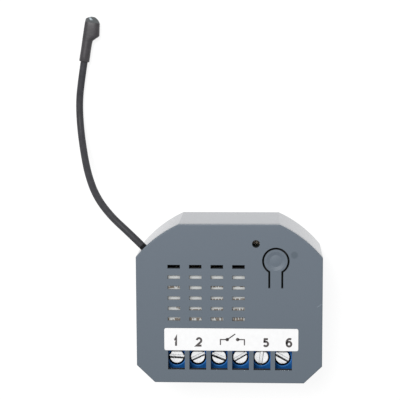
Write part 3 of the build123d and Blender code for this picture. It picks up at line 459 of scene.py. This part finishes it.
# Terminal label: a white plate glued into its recess, printed in dark ink with plain
# terminal numbers and the open-contact sign over terminals 3 and 4.
plate = Finish("label_plate")
plate_haze = plate.noise(0.8, 3.0)
plate.bump(plate.noise(12.0, 2.0), 0.004)
plate.shade(
    Base_Color=plate_haze.step(0.2, 0.8).tint((0.88, 0.88, 0.885), (0.92, 0.92, 0.925)),
    Roughness=0.42 + 0.08 * plate_haze,
)
dress(plate.material, "terminal_label")

label_top = float(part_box("terminal_label")[1].z)
ink_height = 0.00001
ink = Finish("label_ink")
ink_haze = ink.noise(2.5, 3.0)
ink.shade(
    Base_Color=ink_haze.step(0.3, 0.8).tint((0.050, 0.042, 0.042), (0.085, 0.075, 0.075)),
    Roughness=0.5 + 0.1 * ink_haze,
)


def printed_line(points, width):
    """Corners and faces of a thin slab along straight runs, mitred at each corner: each
    point moves sideways by half the width over the cosine of half the turn."""
    points = np.asarray(points, float)
    ways = np.diff(points, axis=0)
    ways /= np.linalg.norm(ways, axis=1)[:, None]
    sides = np.stack([-ways[:, 1], ways[:, 0]], 1)
    mitres = np.vstack([sides[:1], sides[:-1] + sides[1:], sides[-1:]])
    mitres /= np.linalg.norm(mitres, axis=1)[:, None]
    share = np.concatenate([[1.0], (mitres[1:-1] * sides[1:]).sum(1), [1.0]])
    reach = mitres * (width / 2 / share)[:, None]
    return slab(np.vstack([points - reach, (points + reach)[::-1]]))


def slab(outline):
    """Corners and faces of a thin prism of ink on the label over a closed outline."""
    count = len(outline)
    low = np.column_stack([outline, np.full(count, label_top)])
    high = low + [0, 0, ink_height]
    under, over = tuple(range(count))[::-1], tuple(range(count, 2 * count))
    walls = [(k, (k + 1) % count, count + (k + 1) % count, count + k) for k in range(count)]
    return np.vstack([low, high]), [under, over, *walls]


def put_joined(name, parts, material):
    """One mesh object from several lots of corners and faces."""
    firsts = np.cumsum([0] + [len(verts) for verts, _ in parts])
    faces = [
        tuple(i + first for i in face) for (_, lot), first in zip(parts, firsts) for face in lot
    ]
    all_verts = np.vstack([verts for verts, _ in parts])
    return put_mesh(name, all_verts, faces, material, smooth=False)


def printed_dot(x, y, radius, corners=28):
    """Corners and faces of a thin round dot."""
    turn = np.linspace(0, 2 * np.pi, corners, endpoint=False)
    return slab(np.column_stack([x + radius * np.cos(turn), y + radius * np.sin(turn)]))


def arc(x, y, radius_x, radius_y, start, end, steps=16):
    """Points on an oval round (x, y), from one angle in degrees to another."""
    turn = np.radians(np.linspace(start, end, steps))
    return list(zip(x + radius_x * np.cos(turn), y + radius_y * np.sin(turn)))


# Each number is drawn by its strokes' middle lines, in a box 1 wide and box_height high.
box_height = 1.5
number_strokes = {
    "1": [[(0.18, 1.12), (0.34, 1.2), (0.5, 1.5), (0.5, 0.0)]],
    "2": [arc(0.5, 1.05, 0.42, 0.45, 170, -30) + [(0.06, 0.07), (0.96, 0.07)]],
    "5": [[(0.86, 1.41), (0.24, 1.41), (0.17, 0.72)], arc(0.46, 0.48, 0.42, 0.43, 132, -150)],
    "6": [arc(0.6, 0.75, 0.56, 0.72, 58, 180) + arc(0.5, 0.48, 0.42, 0.45, 180, 540, 30)],
}
number_places = (("1", -0.01258), ("2", -0.00712), ("5", 0.00873), ("6", 0.01415))
number_y, number_height, number_weight = -0.00911, 0.00190, 0.00049
number_width = number_height / box_height
for text, middle_x in number_places:
    corner = np.array([middle_x - number_width / 2, number_y - number_height / 2])
    strokes = [
        printed_line(corner + np.array(stroke) * number_width, number_weight)
        for stroke in number_strokes[text]
    ]
    number = put_joined("label_number_" + text, strokes, ink.material)
    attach(number, "module")

sign_width, dot_radius = 0.00028, 0.00042
left_lead = [(-0.00205, -0.00979), (-0.00205, -0.00846), (-0.0006, -0.00846)]
open_blade = [(-0.00044, -0.00846), (0.00146, -0.00709)]
right_lead = [(0.0021, -0.00844), (0.00363, -0.00844), (0.00363, -0.00984)]
sign_parts = [printed_line(line, sign_width) for line in (left_lead, open_blade, right_lead)]
for dot_x, dot_y in ((-0.00044, -0.00846), (0.00202, -0.00844)):
    sign_parts.append(printed_dot(dot_x, dot_y, dot_radius))
sign = put_joined("label_contact_sign", sign_parts, ink.material)
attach(sign, "module")

# Terminal blocks: blue moulded polyamide with the faint flow marks of a filled plastic.
# A painted highlight pales the wells' chamfered rims, painted light makes the side towards
# the label paler, and painted shade makes the wells' lower walls nearly black.
blue = Finish("terminal_plastic")
blue_haze = blue.noise(0.7, 3.0)
blue.bump(blue.noise(6.0, 3.0), 0.01)
pole_pitch, first_pole_x, pole_y = 5.08, -12.7, -13.725
pole_away = blue.x.from_nearest(first_pole_x, pole_pitch)
well_far = pole_away * pole_away + (blue.y - pole_y) * (blue.y - pole_y)
block_top, well_depth, well_reach, rim_reach = 16.2, 2.2, 2.15, 2.6
block_drop = block_top - blue.z
lower_half = 1 - blue.y.step(-13.9, -12.7)
well_wall_shade = block_drop.step(0.2, 0.26) * (well_depth > block_drop)
well_wall_shade = well_wall_shade * (well_reach**2 > well_far) * lower_half
rim_highlight = (block_drop > 0.02) * (0.17 > block_drop) * (rim_reach**2 > well_far)
blue_cloud = blue_haze.step(0.25, 0.8)
towards_label = blue.y.step(-15.9, -12.6)
blue_face = towards_label.tint(
    blue_cloud.tint((0.004, 0.078, 0.27), (0.008, 0.098, 0.32)),
    blue_cloud.tint((0.013, 0.18, 0.66), (0.018, 0.21, 0.74)),
)
rim_lit_face = (0.5 * rim_highlight).tint(blue_face, (0.09, 0.30, 0.72))
blue.shade(
    Base_Color=well_wall_shade.tint(rim_lit_face, (0.002, 0.008, 0.022)),
    Roughness=0.36 + 0.16 * blue_haze,
    Specular_IOR_Level=0.15,
)
dress(blue.material, *[f"terminal_block_{i}" for i in (1, 2, 3)])

# Terminal screws and clamps: turned and pressed steel with a bright zinc coat. Each head
# is turned slightly hollow, with fine tool rings and light scuffs. Painted shade darkens
# its slot's walls and lower edge, the head's upper rim and its side, and a fainter painted
# shadow line runs along the slot's upper edge.
slot_turns = (-3, 25, -21, 31, 82, -29)
slot_shade_reach = (0.15, 0.11, 0.2, 0.09, 0.11, 0.21)
slot_half_width, slot_depth, hollow, fine_relief = 0.35, 0.7, 0.024, 0.0012
for number, (slot_turn, shade_reach) in enumerate(zip(slot_turns, slot_shade_reach), 1):
    zinc = Finish(f"screw_zinc_{number}")
    box_low, box_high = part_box(f"terminal_screw_{number}")
    away_x = zinc.x - 1000 * float((box_low.x + box_high.x) / 2)
    away_y = zinc.y - 1000 * float((box_low.y + box_high.y) / 2)
    away = (away_x * away_x + away_y * away_y).math("POWER", 0.5)
    rings = (away * 42.0).math("SINE")
    scuff = zinc.noise(1.6, 4.0, 0.6).step(0.35, 0.75)
    drop = 1000 * float(box_high.z) - zinc.z
    turn = math.radians(slot_turn)
    across = away_y * math.cos(turn) - away_x * math.sin(turn)
    slot_wall = drop.step(0.04, 0.10) * (1 - drop.step(slot_depth - 0.06, slot_depth - 0.01))
    slot_corner = (drop > slot_depth - 0.1) * (drop < slot_depth + 0.1)
    slot_corner = slot_corner * (across < 0.2 * shade_reach - slot_half_width)
    slot_edge = (across > -slot_half_width - shade_reach) * (across < 0.02 - slot_half_width)
    slot_edge = slot_edge * (drop < 0.06)
    # A slot that points at the lamp takes more light, so its painted shade is fainter.
    shade_shows = 0.45 + 0.5 * abs(math.cos(turn))
    slot_shade = (slot_wall + slot_edge + slot_corner) * shade_shows
    rim_shadow = 0.5 * away_y.step(1.0, 1.2)
    head_side = drop > slot_depth + 0.15
    upper_edge_shadow = (across > slot_half_width - 0.01) * (across < slot_half_width + 0.12)
    upper_edge_shadow = upper_edge_shadow * (drop < 0.04)
    painted_shade = (slot_shade + rim_shadow + head_side + 0.42 * upper_edge_shadow).step(0.0, 1.0)
    fine_marks = rings * 0.3 + scuff * 0.5
    zinc.bump(fine_marks + (hollow / fine_relief) * away * away, fine_relief)
    plated = scuff.tint((0.98, 0.985, 0.99), (0.90, 0.915, 0.93))
    zinc.shade(
        Base_Color=painted_shade.tint(plated, (0.012, 0.012, 0.014)),
        Metallic=0.9 - 0.9 * painted_shade,
        Roughness=0.20 + 0.10 * scuff + 0.5 * painted_shade,
        Specular_IOR_Level=0.2,
    )
    dress(zinc.material, f"terminal_screw_{number}")

cage = Finish("clamp_zinc")
cage_scuff = cage.noise(1.8, 4.0, 0.7)
cage.shade(
    Base_Color=cage_scuff.tint((0.5, 0.51, 0.52), (0.75, 0.75, 0.76)),
    Metallic=1.0,
    Roughness=0.3 + 0.2 * cage_scuff,
)
dress(cage.material, *[f"terminal_clamp_{i}" for i in range(1, 7)])

# Contacts and pins: tinned brass strip and wire, pressed or drawn, dull where the tin is
# thick and yellow where it is thin.
tin = Finish("contact_metal")
tin_haze = tin.noise(1.5, 3.0)
tin.shade(
    Base_Color=tin_haze.step(0.35, 0.75).tint((0.72, 0.70, 0.64), (0.74, 0.60, 0.36)),
    Metallic=1.0,
    Roughness=0.28 + 0.2 * tin_haze,
)
dress(
    tin.material,
    *[f"terminal_contact_{i}" for i in range(1, 7)],
    "relay_contact_blade",
    "relay_fixed_contact",
    "relay_coil_pins",
    "header_pin_row",
)

# Relay: a pale grey case over its base, coil and iron parts. The case's top carries rows
# of small brown print, kept here as plain bars, each row over its own stretch of the top.
# Painted shade darkens the top towards the left end of each vent, and a little at the right.
pale = Finish("relay_case")
pale_haze = pale.noise(0.5, 2.0)
print_bars = pale.noise(3.0, 0.0, stretch=(1.0, 0.3, 0.0)).step(0.42, 0.48)
print_slope, on_top = 0.02, pale.z > 19.2
print_rows = 0.0
for row_y, row_reach, from_x, to_x in (
    (4.45, 0.55, -15.0, -11.4),
    (4.45, 0.5, -4.6, 4.0),
    (0.6, 0.74, -13.6, -11.4),
    (0.6, 0.76, -4.6, 4.0),
    (-0.75, 0.35, -12.5, -11.4),
    (-2.0, 0.92, -9.6, 4.0),
    (-3.9, 0.72, -14.8, 4.0),
):
    from_row = abs(pale.y - print_slope * pale.x - row_y)
    row = 1 - from_row.step(row_reach * 0.85, row_reach)
    print_rows = print_rows + row * (pale.x > from_x) * (to_x > pale.x)
vent_pitch, first_vent_x = 5.08, -13.025
vent_away = pale.x.from_nearest(first_vent_x, vent_pitch)
vent_end_shade = (0.5 - 0.5 * vent_away.step(-1.6, -0.3) + 0.2 * vent_away.step(0.4, 1.6)) * on_top
clean_plastic = pale_haze.tint((0.57, 0.585, 0.58), (0.62, 0.635, 0.63))
case_plastic = vent_end_shade.tint(clean_plastic, (0.16, 0.155, 0.145))
printed = print_rows * on_top * print_bars * 0.9
pale.shade(
    Base_Color=printed.tint(case_plastic, (0.13, 0.095, 0.065)),
    Roughness=0.45 + 0.1 * pale_haze,
)
dress(pale.material, "relay_case", "relay_base", "relay_bobbin")

copper = Finish("coil_copper")
turns = (copper.z * 31.0).math("SINE")
copper.bump(turns, 0.05)
copper.shade(
    Base_Color=(turns * 0.5 + 0.5).tint((0.32, 0.10, 0.04), (0.66, 0.27, 0.12)),
    Metallic=0.8,
    Roughness=0.35,
)
dress(copper.material, "relay_coil")

iron = Finish("relay_iron")
iron_haze = iron.noise(2.0, 4.0)
iron.shade(
    Base_Color=iron_haze.tint((0.45, 0.45, 0.46), (0.66, 0.66, 0.67)),
    Metallic=1.0,
    Roughness=0.35 + 0.2 * iron_haze,
)
dress(iron.material, "relay_core", "relay_yoke", "relay_armature")

# Circuit boards: glass-fibre laminate under green solder mask, with the copper tracks
# showing through it as lighter bands. The green is painted nearly black, as painted shade
# for the openings that look down on it.
laminate = Finish("board_laminate")
weave = laminate.noise(0.35, 1.0)
tracks = (weave * 14.0).math("SINE").step(0.2, 0.5)
laminate.bump(tracks, 0.02)
laminate.shade(
    Base_Color=tracks.tint((0.003, 0.010, 0.005), (0.006, 0.02, 0.009)),
    Roughness=0.35 + 0.12 * tracks,
    Specular_IOR_Level=0.3,
)
dress(laminate.material, "main_board", "upper_board")

# Status light: a clear moulded lens soldered to the board. Its gold lead frame is painted
# on it as bright spots, painted glints here and there, and the rest is painted dark as the
# shade down in its hole.
lens = Finish("light_lens")
glints = lens.noise(4.6, 2.0, 0.6).step(0.48, 0.56)
lens.shade(
    Base_Color=glints.tint((0.012, 0.011, 0.012), (0.95, 0.80, 0.60)),
    Roughness=0.25 + 0.15 * glints,
)
dress(lens.material, "status_light")

# Small parts on the boards: moulded chips, header and switch, tinned cans and the
# coloured bodies of the supply's capacitors, varistor and resistor.
part_finishes = (
    (
        "black_plastic", (0.018, 0.018, 0.02), (0.035, 0.035, 0.04), 0.0, 0.45,
        (
            "switch_body", "switch_plunger", "board_header", "supply_converter",
            "bridge_rectifier", "input_coupler_1", "input_coupler_2", "radio_chip",
            "controller_chip",
        ),
    ),
    (
        "shield_steel", (0.55, 0.55, 0.55), (0.75, 0.75, 0.75), 1.0, 0.3,
        ("radio_shield", "radio_crystal"),
    ),
    ("film_box", (0.55, 0.42, 0.05), (0.68, 0.55, 0.10), 0.0, 0.4, ("supply_capacitor",)),
    (
        "can_aluminium", (0.05, 0.055, 0.09), (0.10, 0.11, 0.16), 0.2, 0.35,
        ("filter_capacitor", "output_capacitor"),
    ),
    ("varistor_coating", (0.03, 0.10, 0.28), (0.06, 0.17, 0.42), 0.0, 0.25, ("varistor",)),
    ("resistor_coating", (0.14, 0.24, 0.16), (0.24, 0.34, 0.24), 0.0, 0.5, ("fuse_resistor",)),
    ("ferrite", (0.05, 0.05, 0.055), (0.11, 0.11, 0.115), 0.0, 0.6, ("supply_inductor",)),
)
for name, low, high, metal, rough, nodes in part_finishes:
    coat = Finish(name)
    coat_haze = coat.noise(1.4, 4.0, 0.6)
    coat.bump(coat.noise(8.0, 2.0), 0.01)
    coat.shade(
        Base_Color=coat_haze.step(0.3, 0.75).tint(low, high),
        Metallic=metal,
        Roughness=rough + 0.15 * coat_haze,
    )
    dress(coat.material, *nodes)
